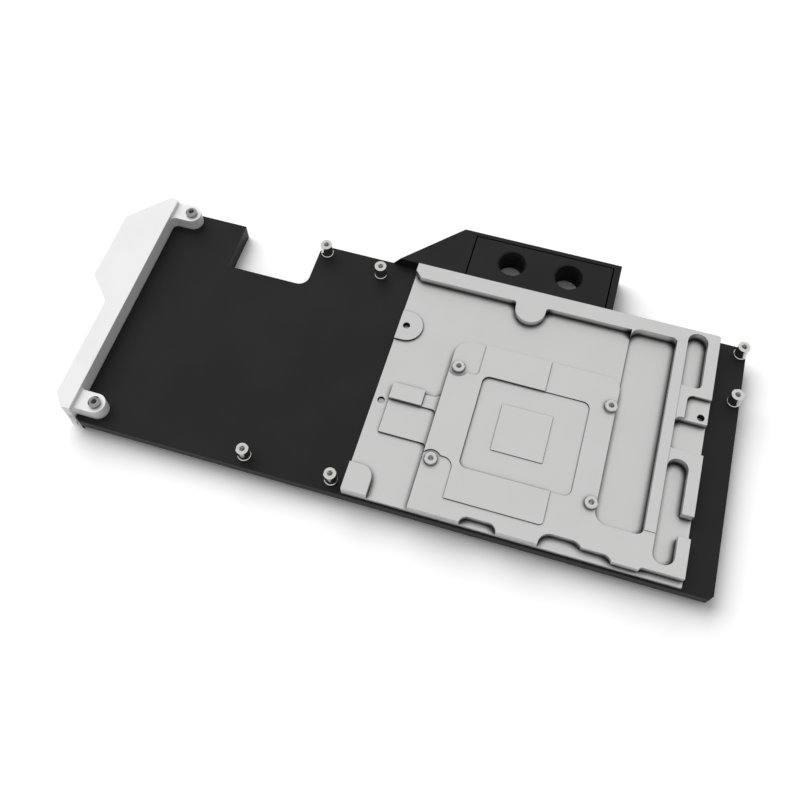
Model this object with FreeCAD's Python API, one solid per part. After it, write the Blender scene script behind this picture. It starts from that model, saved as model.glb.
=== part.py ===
"""Full-cover liquid cooling cold plate, modelled lying on its front face with the contact side up.

Plan directions: +X runs along the card from the white end cover to the far end, +Y points to the
coolant terminal, +Z points away from the front face. While the pieces are made, z = 0 is the cold
face of the black housing and y = 0 is its terminal edge. At the end the whole assembly is moved so
that its origin is the middle of its box, on the plane of the front face.
"""
import FreeCAD
import Part

import math
import os

from FreeCAD import Vector

# ---------------------------------------------------------------- driving sizes, mm
# black housing
HOUSING_LENGTH = 254.6
HOUSING_WIDTH = 108.1
HOUSING_THICKNESS = 8.0
END_OVERHANG = 9.3          # housing left of the datum corner
CORNER_CUT_RIGHT = 4.2
CORNER_CUT_LOW = 1.7
BEVEL = 3.3                 # 45 degree bevel round the front face
NOTCH_START = 21.8          # notch for the power plugs
NOTCH_LENGTH = 36.4
NOTCH_DEPTH = 22.1
NOTCH_LEAD = 3.2
NOTCH_ROUND = 4.5

# cold plate
PLATE_LENGTH = 130.1
PLATE_RIGHT_MARGIN = 12.1
PLATE_TOP_MARGIN = 0.7
PLATE_LOW_MARGIN = 0.8
LOW_LEVEL = 2.4             # floor under tall components
DEEP_LEVEL = 1.2            # floor of the inductor pocket and the slots
LAND_LEVEL = 5.9            # rim and power stage land
BAR_RISE = 0.3              # above the land
MEMORY_RISE = 0.5           # above the land
RECESS_SINK = 0.5           # package recess round the chip, below the land
PEDESTAL_RISE = 0.4         # chip face, above the recess
BOSS_LEVEL = 3.4
SHELF_LEVEL = 4.0
STEP_LEVELS = (5.0, 4.1, 3.3)
RIM_WIDTH = 6.9
RIM_TAB_RADIUS = 6.4
TAB_FROM_CHIP = 9.3         # screw tab of the rim, left of the chip's middle
CHIP_FROM_LOW = 41.4
MEMORY_ABOVE_CHIP = 33.8
MEMORY_BELOW_CHIP = 34.2
MEMORY_BESIDE_HOLES = 3.425
PEDESTAL_LENGTH = 20.5
PEDESTAL_WIDTH = 20.3
RECESS_LENGTH = 43.9
RECESS_WIDTH = 40.6
RECESS_ROUND = 3.0
HOLES_TO_POCKET = 2.125     # chip holes to the left wall of the inductor pocket
POCKET_LENGTH = 18.8
POCKET_FROM_LOW = 13.9
BAR_WIDTH = 4.2             # wall between the pocket and the slots
SLOT_FROM_RIGHT = 4.6
SLOT_LENGTH = 8.3
UPPER_SLOT_WIDTH = 25.3
LOWER_SLOT_ABOVE_CHIP = 6.4
LOWER_SLOT_FROM_LOW = 5.2
SHELF_FROM_TOP = 30.3
BOSS_FROM_LEFT = 3.3
BOSS_FROM_TOP = 30.1
BOSS_RADIUS = 6.9
LEDGE_WIDTH = 2.2
CORNER_PAD_SIDE = 10.0

# coolant space
FIN_PITCH = 1.2
FIN_GAP = 0.6
FIN_DEPTH = 2.4
FIN_FIELD = 28.0
CHAMBER_DEPTH = 4.5
CHAMBER_SIDE = 34.0
RETURN_WIDTH = 6.0
CHANNEL_WIDTH = 7.0
CHANNEL_FROM_EDGE = 20.5
PASSAGE_RADIUS = 2.0
INSERT_WIDTH = 14.0
JET_PLATE_THICKNESS = 0.5
JET_SLOT_WIDTH = 1.4
GASKET_THICKNESS = 1.5
GROOVE_CLEARANCE = 0.3
SEAL_MARGIN = 3.5           # coolant space to the middle of the gasket
SEAL_ROUND = 6.0

# terminal
PORT_PITCH = 25.0
PORT_FROM_CHIP = 22.25      # left port, left of the chip's middle
PORT_RADIUS = 5.72          # G1/4 thread, minor radius
PORT_CHAMFER = 0.8
PORT_FROM_EDGE = 11.1
TERMINAL_TOP = 4.7
BLOCK_LENGTH = 60.4
BLOCK_WIDTH = 20.7
SHROUD_GAP = 0.6
SHROUD_STRIP = 1.8
SHROUD_END = 2.9
SHROUD_NOSE = 29.0          # slanted end, along X at the top face
SHROUD_FOOT = 3.1           # how far the slanted end spreads below the top face
SHROUD_SHOULDER = 5.6       # full-width part beside the block
TERMINAL_RING_RADIUS = 2.95
TERMINAL_RING_SECTION = 0.7

# white end cover
COVER_TOP = 7.7
COVER_GAP = 0.3
COVER_WALL = 2.5
COVER_RIB = 1.5             # ribs across the cover's hollow front
COVER_RIB_PITCH = 20.0
COVER_BODY = 8.2            # narrow part of the cover, along X
COVER_BULGE = 18.7          # wide part of the cover, along X
COVER_BULGE_START = 14.3
COVER_BULGE_END = 46.9
COVER_PROUD = 0.8           # cover's upper end beyond the housing's terminal edge
COVER_LOW_INSET = 1.0       # cover's lower end inside the housing's lower edge
LIP_OUT = 1.0               # lip round the housing's lower corner
LIP_HEIGHT = 2.2
EAR_FOOT = 1.7              # round foot of the lower ear at the cover
EAR_THICKNESS = 6.0
EAR_RADIUS = 4.2
EAR_INSET = 7.6
EAR_FROM_TOP = 4.0
EAR_FROM_LOW = 6.9
EAR_BLEND = 4.6             # round inner corner of the upper ear
LOWER_EAR_BLEND = 3.2

# standoffs, their places seen on the circuit board that they carry
BOARD_LEVEL = 8.0
STANDOFF_RADIUS = 2.5
STANDOFF_EDGE = 0.3
EAR_STANDOFF_EDGE = 0.8
COLLAR_RADIUS = 2.7         # foot of a standoff on the housing
COLLAR_HEIGHT = 2.0
STANDOFF_BORE = 1.025       # M2.5 tapping size
STANDOFF_BORE_DEPTH = 6.0
STUD_RADIUS = 1.25
STUD_LENGTH = 3.5
STANDOFF_ROOM = 4.15        # radius kept clear round a chip standoff
BOARD_RIGHT_MARGIN = 2.75
CHIP_HOLES_X = 62.45
CHIP_HOLES_Y = 41.45
NOTCH_HOLE_INSET = 3.8      # holes beside the power plug notch
LOW_HOLE_INSET = 4.7
HIGH_HOLE_INSET = 4.0
TERMINAL_HOLE_INSET = 8.1
RIGHT_HOLE_INSET = 26.5
PLATE_HOLE_GAP = 5.4        # hole left of the plate's lower corner

# screws, M3 socket caps
SCREW_RADIUS = 1.5
SCREW_CLEARANCE = 0.2
HEAD_RADIUS = 2.75
HEAD_HEIGHT = 3.0
HEAD_CLEARANCE = 0.35
HEAD_SINK = 0.4
HEX_ACROSS_FLATS = 2.5
HEX_DEPTH = 1.5
LONG_SCREW = 8.0
SHORT_SCREW = 6.0
TAP_SPARE = 0.5
EDGE_WALL = 0.3             # housing left between a screw head's room and the bevel
SIDE_WALL = 0.05            # housing left between crossing screw holes
CORNER_SCREW_INSET = 5.2
PORT_TO_SCREW = 11.3
TERMINAL_SCREW = 25.0
SHROUD_SCREW = 12.0
SHROUD_SCREW_SEAT = 4.5

# ---------------------------------------------------------------- places worked out from the sizes
HOUSING_LEFT = -END_OVERHANG
HOUSING_RIGHT = HOUSING_LEFT + HOUSING_LENGTH
HOUSING_LOW = -HOUSING_WIDTH
FRONT = -HOUSING_THICKNESS
PLATE_RIGHT = HOUSING_RIGHT - PLATE_RIGHT_MARGIN
PLATE_LEFT = PLATE_RIGHT - PLATE_LENGTH
PLATE_TOP = -PLATE_TOP_MARGIN
PLATE_LOW = HOUSING_LOW + PLATE_LOW_MARGIN
RIM_LOW = PLATE_TOP - RIM_WIDTH
BAR_LEVEL = LAND_LEVEL + BAR_RISE
MEMORY_LEVEL = LAND_LEVEL + MEMORY_RISE
RECESS_LEVEL = LAND_LEVEL - RECESS_SINK
PEDESTAL_LEVEL = RECESS_LEVEL + PEDESTAL_RISE
SLOT_RIGHT = PLATE_RIGHT - SLOT_FROM_RIGHT
SLOT_LEFT = SLOT_RIGHT - SLOT_LENGTH
POCKET_RIGHT = SLOT_LEFT - BAR_WIDTH
POCKET_LEFT = POCKET_RIGHT - POCKET_LENGTH
CHIP_X = POCKET_LEFT - HOLES_TO_POCKET - CHIP_HOLES_X / 2
CHIP_Y = PLATE_LOW + CHIP_FROM_LOW
TAB_X = CHIP_X - TAB_FROM_CHIP
MEMORY_LEFT = CHIP_X - CHIP_HOLES_X / 2 - MEMORY_BESIDE_HOLES
MEMORY_TOP = CHIP_Y + MEMORY_ABOVE_CHIP
MEMORY_LOW = CHIP_Y - MEMORY_BELOW_CHIP
BOSS_X = PLATE_LEFT + BOSS_FROM_LEFT
BOSS_Y = PLATE_TOP - BOSS_FROM_TOP
SHELF_TOP = PLATE_TOP - SHELF_FROM_TOP
PORTS_X = (CHIP_X - PORT_FROM_CHIP, CHIP_X - PORT_FROM_CHIP + PORT_PITCH)
SIDE_Z = FRONT / 2
BLOCK_LEFT = sum(PORTS_X) / 2 - BLOCK_LENGTH / 2
BLOCK_RIGHT = BLOCK_LEFT + BLOCK_LENGTH
SHROUD_TOP_EDGE = BLOCK_WIDTH + SHROUD_GAP + SHROUD_STRIP
COVER_FACE = HOUSING_LEFT - COVER_GAP
SEAT_Z = FRONT + HEAD_SINK + HEAD_HEIGHT
CHANNEL_START = -CHANNEL_FROM_EDGE
POCKET_TOP_END = RIM_LOW + 1.0
POCKET_LOW_END = PLATE_LOW + POCKET_FROM_LOW
GROOVE_HALF = GASKET_THICKNESS / 2 + GROOVE_CLEARANCE
BLOCK_SEAT_Y = BLOCK_WIDTH - HEAD_SINK - HEAD_HEIGHT
SHROUD_RIGHT = BLOCK_RIGHT + SHROUD_GAP + SHROUD_END
RING_SEAT_RADIUS = TERMINAL_RING_RADIUS + TERMINAL_RING_SECTION + 0.05
HEAD_ROOM = HEAD_RADIUS + HEAD_CLEARANCE
CLAMP_LOW = HOUSING_LOW + BEVEL + HEAD_ROOM + EDGE_WALL


# ---------------------------------------------------------------- outlines and solids
def rounded_face(corners, z=0.0):
    """Flat face at height z from (x, y) or (x, y, radius) corners; inner corners may be rounded too."""
    points = [Vector(c[0], c[1], z) for c in corners]
    radii = [c[2] if len(c) > 2 else 0.0 for c in corners]
    stretches = []
    for i, corner in enumerate(points):
        to_last = points[i - 1] - corner
        to_next = points[(i + 1) % len(points)] - corner
        if not radii[i]:
            stretches.append((corner, None, corner))
            continue
        half = to_last.getAngle(to_next) / 2
        reach = min(radii[i] / math.tan(half), 0.48 * to_last.Length, 0.48 * to_next.Length)
        centre = corner + (to_last.normalize() + to_next.normalize()).normalize() * (reach / math.cos(half))
        start = corner + to_last * reach
        middle = centre + (corner - centre).normalize() * (reach * math.tan(half))
        stretches.append((start, middle, corner + to_next * reach))
    edges = []
    for i, (start, middle, end) in enumerate(stretches):
        if middle is not None:
            edges.append(Part.Arc(start, middle, end).toShape())
        following = stretches[(i + 1) % len(stretches)][0]
        if (following - end).Length > 1e-6:
            edges.append(Part.makeLine(end, following))
    return Part.Face(Part.Wire(edges))


def prism(corners, low, high):
    """Upright solid between two heights over rounded corners."""
    return rounded_face(corners, low).extrude(Vector(0, 0, high - low))


def panel(left, low, right, top, radius=0.0):
    """Corners of an upright rectangle in plan, all with one radius."""
    return [(left, low, radius), (right, low, radius), (right, top, radius), (left, top, radius)]


def middle_panel(x, y, length, width, radius=0.0):
    """Corners of a rectangle about its middle."""
    return panel(x - length / 2, y - width / 2, x + length / 2, y + width / 2, radius)


def round_bar(x, y, low, high, radius):
    """Upright cylinder."""
    return Part.makeCylinder(radius, high - low, Vector(x, y, low))


def side_bar(x, z, start, end, radius):
    """Cylinder along Y."""
    return Part.makeCylinder(radius, abs(end - start), Vector(x, min(start, end), z), Vector(0, 1, 0))


def cut_all(solid, tools):
    """Subtract many tools at once and return a clean solid."""
    return solid.cut(Part.makeCompound(tools)).removeSplitter()


def fuse_all(solids):
    """Join solids into one clean solid."""
    return solids[0].multiFuse(solids[1:]).removeSplitter()


# ---------------------------------------------------------------- fasteners
def cap_screw(length):
    """M3 socket cap screw, its head below z = 0 and its shank up +Z."""
    head = Part.makeCylinder(HEAD_RADIUS, HEAD_HEIGHT, Vector(0, 0, -HEAD_HEIGHT))
    head = head.makeChamfer(0.3, [e for e in head.Edges if e.BoundBox.ZMax < 0.01 - HEAD_HEIGHT])
    shank = Part.makeCylinder(SCREW_RADIUS, length)
    shank = shank.makeChamfer(0.3, [e for e in shank.Edges if e.BoundBox.ZMin > length - 0.01])
    corner = HEX_ACROSS_FLATS / math.sqrt(3)
    hexagon = [(corner * math.cos(math.radians(a)), corner * math.sin(math.radians(a)))
               for a in range(0, 360, 60)]
    return head.fuse(shank).cut(prism(hexagon, -HEAD_HEIGHT, HEX_DEPTH - HEAD_HEIGHT)).removeSplitter()


def side_screw(x, seat_y, length):
    """Cap screw along -Y at mid thickness, its head resting on seat_y."""
    screw = cap_screw(length)
    screw.rotate(Vector(0, 0, 0), Vector(1, 0, 0), 90)
    screw.translate(Vector(x, seat_y, SIDE_Z))
    return screw


def standoff(foot):
    """Threaded standoff from its foot up to the board; the stud of an ear's standoff passes the ear too."""
    height = BOARD_LEVEL - foot
    reach = STUD_LENGTH + (EAR_THICKNESS if foot == EAR_THICKNESS else 0)
    edge = EAR_STANDOFF_EDGE if foot == EAR_THICKNESS else STANDOFF_EDGE
    body = Part.makeCylinder(STANDOFF_RADIUS, height)
    body = body.makeChamfer(edge, [e for e in body.Edges if e.BoundBox.ZMin > height - 0.01])
    if foot == 0:
        collar = Part.makeCylinder(COLLAR_RADIUS, COLLAR_HEIGHT)
        body = body.fuse(collar.makeChamfer(0.8 * STANDOFF_EDGE, [e for e in collar.Edges
                                                                  if e.BoundBox.ZMin > COLLAR_HEIGHT - 0.01]))
    stud = Part.makeCylinder(STUD_RADIUS, reach, Vector(0, 0, -reach))
    bore_depth = min(STANDOFF_BORE_DEPTH, height + STUD_LENGTH - 1.5)
    bore = Part.makeCylinder(STANDOFF_BORE, bore_depth, Vector(0, 0, height - bore_depth))
    mouth = Part.makeCone(STANDOFF_BORE, STANDOFF_BORE + 0.25, 0.25, Vector(0, 0, height - 0.25))
    return body.fuse(stud).cut(bore).cut(mouth).removeSplitter()


def standoff_places():
    """Name, x, y and foot height of each standoff."""
    right = HOUSING_RIGHT - BOARD_RIGHT_MARGIN
    low = HOUSING_LOW + LOW_HOLE_INSET
    notch_side = NOTCH_START + NOTCH_LENGTH + NOTCH_HOLE_INSET
    beside_plate = notch_side + 0.632 * (PLATE_LEFT - notch_side)
    places = [("standoff_notch", notch_side, -HIGH_HOLE_INSET, 0.0),
              ("standoff_terminal", beside_plate, -TERMINAL_HOLE_INSET, 0.0),
              ("standoff_low_middle", notch_side, low, 0.0),
              ("standoff_low_plate", PLATE_LEFT - PLATE_HOLE_GAP, low, 0.0),
              ("standoff_corner", right, -HIGH_HOLE_INSET, 0.0),
              ("standoff_right", right, -RIGHT_HOLE_INSET, 0.0),
              ("standoff_ear_upper", *ear_places()[0], EAR_THICKNESS),
              ("standoff_ear_lower", *ear_places()[1], EAR_THICKNESS)]
    for name_y, side_y in (("upper", 1), ("lower", -1)):
        for name_x, side_x in (("left", -1), ("right", 1)):
            places.append((f"standoff_chip_{name_y}_{name_x}", CHIP_X + side_x * CHIP_HOLES_X / 2,
                           CHIP_Y + side_y * CHIP_HOLES_Y / 2, LAND_LEVEL))
    return places


def clamp_places():
    """x, y and length of each screw that pulls the cold plate on to the housing."""
    right = (PLATE_RIGHT + SLOT_RIGHT) / 2
    bar = (POCKET_RIGHT + SLOT_LEFT) / 2
    return [(PLATE_LEFT + CORNER_SCREW_INSET, PLATE_TOP - RIM_WIDTH / 2, LONG_SCREW),
            (TAB_X, RIM_LOW - 2.2, LONG_SCREW), (bar, RIM_LOW - 2.2, LONG_SCREW),
            (right, PLATE_TOP - 0.66 * SHELF_FROM_TOP, LONG_SCREW),
            (BOSS_X, BOSS_Y, SHORT_SCREW), (BOSS_X - 0.1, CHIP_Y - 0.3, SHORT_SCREW),
            (PLATE_RIGHT - 2.8, SHELF_TOP - 7.9, SHORT_SCREW),
            (PLATE_LEFT + CORNER_PAD_SIDE / 2, CLAMP_LOW, LONG_SCREW), (CHIP_X - 27.0, CLAMP_LOW, LONG_SCREW),
            (CHIP_X + 7.8, CLAMP_LOW, LONG_SCREW), (POCKET_LEFT + 14.0, CLAMP_LOW + 0.3, LONG_SCREW),
            (right, CHIP_Y - 5.0, LONG_SCREW)]


# ---------------------------------------------------------------- cold plate
def plate_lands():
    """Raised areas of the contact side, each from the cold face up to its level."""
    rim = prism([(PLATE_LEFT, PLATE_TOP), (PLATE_RIGHT, PLATE_TOP, 0.8), (PLATE_RIGHT, RIM_LOW),
                 (PLATE_LEFT + 3.0, RIM_LOW), (PLATE_LEFT, RIM_LOW + 3.0)], 0, LAND_LEVEL)
    root = RIM_TAB_RADIUS + 2.6
    tab = prism([(TAB_X - root, RIM_LOW + 1), (TAB_X - root, RIM_LOW), (TAB_X - RIM_TAB_RADIUS, RIM_LOW, 2.2),
                 (TAB_X - RIM_TAB_RADIUS, RIM_LOW - 3.0), (TAB_X + RIM_TAB_RADIUS, RIM_LOW - 3.0),
                 (TAB_X + RIM_TAB_RADIUS, RIM_LOW, 2.2), (TAB_X + root, RIM_LOW), (TAB_X + root, RIM_LOW + 1)],
                0, LAND_LEVEL)
    tab_end = round_bar(TAB_X, RIM_LOW - 2.2, 0, LAND_LEVEL, RIM_TAB_RADIUS)
    tab = tab.cut(prism(panel(TAB_X - root, RIM_LOW - 9, TAB_X + root, RIM_LOW - 2.2), 0, LAND_LEVEL))
    tab = tab.fuse(tab_end)
    right_land = prism(panel(POCKET_LEFT, PLATE_LOW, PLATE_RIGHT, RIM_LOW + 1), 0, LAND_LEVEL)
    chip_land = prism([(MEMORY_LEFT, PLATE_LOW), (POCKET_LEFT, PLATE_LOW), (POCKET_LEFT, MEMORY_TOP, 5.0),
                       (MEMORY_LEFT, MEMORY_TOP, 6.5)], 0, LAND_LEVEL)
    corner_pad = prism([(PLATE_LEFT, PLATE_LOW), (PLATE_LEFT + CORNER_PAD_SIDE, PLATE_LOW),
                        (PLATE_LEFT + CORNER_PAD_SIDE, PLATE_LOW + CORNER_PAD_SIDE + 1.5, 6.0),
                        (PLATE_LEFT, PLATE_LOW + CORNER_PAD_SIDE + 1.5)], 0, LAND_LEVEL)
    bar = prism(panel(POCKET_RIGHT, POCKET_LOW_END + 2.3, SLOT_LEFT, RIM_LOW), 0, BAR_LEVEL)
    return [rim, tab, right_land, chip_land, corner_pad, bar] + memory_lands() + left_steps()


def memory_lands():
    """The raised area that touches the memory chips on three sides of the package."""
    inner_left = CHIP_X - 22.6
    hole_x, hole_y = CHIP_X - CHIP_HOLES_X / 2, CHIP_Y - CHIP_HOLES_Y / 2
    land = prism([(inner_left, MEMORY_TOP), (inner_left, MEMORY_TOP - 14.6, 2.0),
                  (MEMORY_LEFT, MEMORY_TOP - 14.6), (MEMORY_LEFT, hole_y + 2.6),
                  (inner_left, hole_y + 2.6, 4.0), (inner_left, MEMORY_LOW), (CHIP_X + 15.6, MEMORY_LOW, 1.5),
                  (CHIP_X + 15.6, CHIP_Y - 15.0), (CHIP_X - 15.0, CHIP_Y - 15.0),
                  (CHIP_X - 15.0, CHIP_Y + 15.0), (CHIP_X + 4.75, CHIP_Y + 15.0),
                  (CHIP_X + 4.75, MEMORY_TOP)], 0, MEMORY_LEVEL)
    room = [round_bar(hole_x, CHIP_Y + side * CHIP_HOLES_Y / 2, LAND_LEVEL, MEMORY_LEVEL, STANDOFF_ROOM)
            for side in (-1, 1)]
    return [land.cut(Part.makeCompound(room))]


def left_steps():
    """The stepped pads left of the memory and the screw boss near the left edge."""
    span = MEMORY_LEFT - PLATE_LEFT
    left, split = PLATE_LEFT + 0.237 * span, PLATE_LEFT + 0.748 * span
    inner = MEMORY_LEFT - 0.3
    top, middle, low = CHIP_Y + 7.6, CHIP_Y + 0.7, CHIP_Y - 13.9
    high_pad = prism(panel(left, middle, split, top), 0, STEP_LEVELS[0])
    middle_pad = prism([(split, top - 1.4), (split, middle), (inner, middle, 3.0), (inner, middle - 4.0),
                        (MEMORY_LEFT, middle - 4.0), (MEMORY_LEFT, top), (inner - 2.0, top - 1.4, 2.0)],
                       0, STEP_LEVELS[1])
    low_pad = prism([(left, middle), (left, low), (inner, low, 2.8), (inner, low - 3.5),
                     (MEMORY_LEFT, low - 3.5), (MEMORY_LEFT, middle)], 0, STEP_LEVELS[2])
    boss = round_bar(BOSS_X, BOSS_Y, 0, BOSS_LEVEL, BOSS_RADIUS)
    boss_root = prism(panel(PLATE_LEFT, BOSS_Y - BOSS_RADIUS, BOSS_X, BOSS_Y + BOSS_RADIUS), 0, BOSS_LEVEL)
    boss_end = boss.common(prism(panel(BOSS_X, BOSS_Y - 2 * BOSS_RADIUS, BOSS_X + 2 * BOSS_RADIUS,
                                       BOSS_Y + 2 * BOSS_RADIUS), 0, BOSS_LEVEL))
    return [high_pad, middle_pad, low_pad, boss_end, boss_root]


def plate_pockets():
    """Everything milled into the contact side."""
    high = MEMORY_LEVEL + 1
    beyond = PLATE_RIGHT + 5
    slot_round = SLOT_LENGTH / 2 - 0.05
    pocket = [(POCKET_LEFT, POCKET_TOP_END, 4.0), (POCKET_RIGHT, POCKET_TOP_END, 1.8),
              (POCKET_RIGHT, POCKET_LOW_END, 3.0), (POCKET_LEFT, POCKET_LOW_END, 5.0)]
    upper_top = PLATE_TOP - 1.4
    upper = [(SLOT_LEFT, upper_top, slot_round), (SLOT_RIGHT, upper_top, slot_round),
             (SLOT_RIGHT, upper_top - UPPER_SLOT_WIDTH, 2.2), (SLOT_LEFT, upper_top - UPPER_SLOT_WIDTH, 1.0)]
    lower_top = CHIP_Y + LOWER_SLOT_ABOVE_CHIP
    lower = panel(SLOT_LEFT, PLATE_LOW + LOWER_SLOT_FROM_LOW, SLOT_RIGHT, lower_top, slot_round)
    outlet = panel(SLOT_LEFT + 3.0, lower_top - 30.3, beyond, lower_top - 21.5, 0.6)
    shelf = [(SLOT_LEFT + 3.5, SHELF_TOP, 2.5), (beyond, SHELF_TOP), (beyond, SHELF_TOP - 10.7),
             (SLOT_LEFT + 3.5, SHELF_TOP - 10.7)]
    drop = [(SLOT_LEFT, SHELF_TOP - 10.4, 2.5), (beyond, SHELF_TOP - 10.4), (beyond, SHELF_TOP - 24.6),
            (SLOT_LEFT, SHELF_TOP - 24.6, 1.0)]
    recess = panel(CHIP_X - 20.5, CHIP_Y - 20.5, CHIP_X - 20.5 + RECESS_LENGTH,
                   CHIP_Y - 20.5 + RECESS_WIDTH, RECESS_ROUND)
    cuts = [prism(pocket, DEEP_LEVEL, high), prism(upper, DEEP_LEVEL, high), prism(lower, DEEP_LEVEL, high),
            prism(outlet, DEEP_LEVEL, high), prism(shelf, SHELF_LEVEL, high), prism(drop, DEEP_LEVEL, high),
            prism(recess, RECESS_LEVEL, high)]
    return cuts + lower_scallops(high, beyond)


def lower_scallops(high, beyond):
    """Round-ended cuts and the narrow ledge along the lower edge."""
    below = PLATE_LOW - 8
    scallops = ((CHIP_X - 14.6, CHIP_X - 0.4, 2.8, 3.2), (CHIP_X + 15.3, CHIP_X + 32.0, 5.1, 4.6),
                (CHIP_X + 26.0, CHIP_X + 43.0, 3.2, 3.6))
    cuts = [prism(panel(left, below, right, PLATE_LOW + depth, radius), LOW_LEVEL, high)
            for left, right, depth, radius in scallops]
    cuts.append(prism(panel(CHIP_X + 42.0, below, beyond, PLATE_LOW + 1.1), LOW_LEVEL, high))
    cuts.append(prism(panel(CHIP_X + 52.7, below, beyond, PLATE_LOW + LEDGE_WIDTH, 1.5), LOW_LEVEL, high))
    return cuts


def fin_gaps():
    """Fine slots milled up into the cold face behind the chip."""
    count = int(FIN_FIELD / FIN_PITCH)
    first = CHIP_X - FIN_PITCH * (count - 1) / 2
    return [prism(panel(first + i * FIN_PITCH - FIN_GAP / 2, CHIP_Y - FIN_FIELD / 2,
                        first + i * FIN_PITCH + FIN_GAP / 2, CHIP_Y + FIN_FIELD / 2), 0, FIN_DEPTH)
            for i in range(count)]


def cold_plate():
    """One milled and plated copper plate."""
    base = prism([(PLATE_LEFT, PLATE_TOP), (PLATE_RIGHT, PLATE_TOP, 0.8), (PLATE_RIGHT, PLATE_LOW + 1.3),
                  (PLATE_RIGHT - 1.3, PLATE_LOW), (PLATE_LEFT, PLATE_LOW, 0.5)], 0, LOW_LEVEL)
    body = fuse_all([base] + plate_lands())
    body = cut_all(body, plate_pockets())
    pedestal = middle_panel(CHIP_X, CHIP_Y, PEDESTAL_LENGTH, PEDESTAL_WIDTH)
    pedestal = prism(pedestal, RECESS_LEVEL - 1, PEDESTAL_LEVEL)
    body = body.fuse(pedestal)
    holes = []
    for x, y, length in clamp_places():
        through = length == SHORT_SCREW
        top = MEMORY_LEVEL + 1 if through else SEAT_Z + length + TAP_SPARE
        holes.append(round_bar(x, y, -1, top, SCREW_RADIUS))
    for _, x, y, foot in standoff_places():
        if foot == LAND_LEVEL:
            holes.append(round_bar(x, y, foot - STUD_LENGTH, foot + 1, STUD_RADIUS))
    return cut_all(body, holes + fin_gaps())


# ---------------------------------------------------------------- housing
def housing_outline():
    """Corners of the black housing in plan, anticlockwise from the cover end."""
    notch_end = NOTCH_START + NOTCH_LENGTH
    return [(HOUSING_LEFT, 0), (HOUSING_LEFT, HOUSING_LOW + CORNER_CUT_LOW),
            (HOUSING_LEFT + CORNER_CUT_LOW, HOUSING_LOW), (HOUSING_RIGHT - CORNER_CUT_LOW, HOUSING_LOW),
            (HOUSING_RIGHT, HOUSING_LOW + CORNER_CUT_LOW), (HOUSING_RIGHT, -CORNER_CUT_RIGHT),
            (HOUSING_RIGHT - CORNER_CUT_RIGHT, 0), (notch_end + 1.0, 0), (notch_end, -NOTCH_LEAD),
            (notch_end, -NOTCH_DEPTH, NOTCH_ROUND), (NOTCH_START, -NOTCH_DEPTH, 1.2), (NOTCH_START, 0)]


def bevel_wedge(start, end):
    """Wedge that takes the 45 degree bevel off the front edge between two outline points."""
    along = Vector(end[0] - start[0], end[1] - start[1], 0)
    outward = Vector(along.y, -along.x, 0).normalize()
    foot = Vector(start[0], start[1], FRONT)
    profile = [foot - outward * BEVEL, foot + outward, foot + outward + Vector(0, 0, BEVEL + 1)]
    return Part.Face(Part.makePolygon(profile + [profile[0]])).extrude(along)


def coolant_cuts():
    """Chamber, channels, side passages and the gasket groove of the housing."""
    floor = -CHAMBER_DEPTH
    half = CHAMBER_SIDE / 2
    right = CHIP_X + half + RETURN_WIDTH
    cuts = [prism(panel(CHIP_X - half, CHIP_Y - half, right, CHIP_Y + half, 3.0), floor, 0)]
    ends = (CHIP_Y - CHANNEL_WIDTH / 2, CHIP_Y + half - 4.0)
    for x, end in zip(PORTS_X, ends):
        left = x - CHANNEL_WIDTH / 2
        cuts.append(prism(panel(left, end, left + CHANNEL_WIDTH, CHANNEL_START, 3.0), floor, 0))
        cuts.append(side_bar(x, SIDE_Z, CHANNEL_START - CHANNEL_WIDTH / 2, 1.0, PASSAGE_RADIUS))
    cuts.append(prism(panel(PORTS_X[0], CHIP_Y - 3.0, CHIP_X - half + 4.0, CHIP_Y + 3.0), floor, 0))
    groove = gasket_path(0).makeOffset2D(GROOVE_HALF).Wires[0]
    inner = gasket_path(0).makeOffset2D(-GROOVE_HALF).Wires[0]
    ring = Part.Face(groove).cut(Part.Face(inner))
    ring.translate(Vector(0, 0, -GASKET_THICKNESS))
    cuts.append(ring.extrude(Vector(0, 0, GASKET_THICKNESS)))
    return cuts


def gasket_path(z):
    """Closed path of the gasket's middle line round the coolant space."""
    half = CHAMBER_SIDE / 2
    left = PORTS_X[0] - CHANNEL_WIDTH / 2 - SEAL_MARGIN
    right = CHIP_X + half + RETURN_WIDTH + SEAL_MARGIN
    low, top = CHIP_Y - half - SEAL_MARGIN, CHANNEL_START + SEAL_MARGIN
    return rounded_face(panel(left, low, right, top, SEAL_ROUND), z).OuterWire


def top_housing():
    """Black acetal plate that closes the coolant space."""
    body = prism(housing_outline(), FRONT, 0)
    outline = housing_outline()
    slant_foot = shroud_left_foot()
    edges = [(outline[i], outline[i + 1]) for i in range(2, 6)]
    edges += [((HOUSING_RIGHT - CORNER_CUT_RIGHT, 0), (SHROUD_RIGHT, 0)), ((slant_foot, 0), outline[7])]
    cuts = [bevel_wedge(*edge) for edge in edges] + coolant_cuts()
    for x, y, _ in clamp_places():
        cuts.append(round_bar(x, y, FRONT - 1, 1, SCREW_RADIUS + SCREW_CLEARANCE))
        cuts.append(round_bar(x, y, FRONT - 1, SEAT_Z, HEAD_ROOM))
    for _, x, y, foot in standoff_places():
        if foot != LAND_LEVEL:
            cuts.append(round_bar(x, y, -STUD_LENGTH, 1, STUD_RADIUS))
    for x in terminal_screw_places():
        cuts.append(side_bar(x, SIDE_Z, BLOCK_SEAT_Y - TERMINAL_SCREW - TAP_SPARE, 1, SCREW_RADIUS))
    for x in shroud_screw_places():
        cuts.append(side_bar(x, SIDE_Z, SHROUD_SCREW_SEAT - SHROUD_SCREW - TAP_SPARE, 1, SCREW_RADIUS))
    return cut_all(body, cuts)


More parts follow.
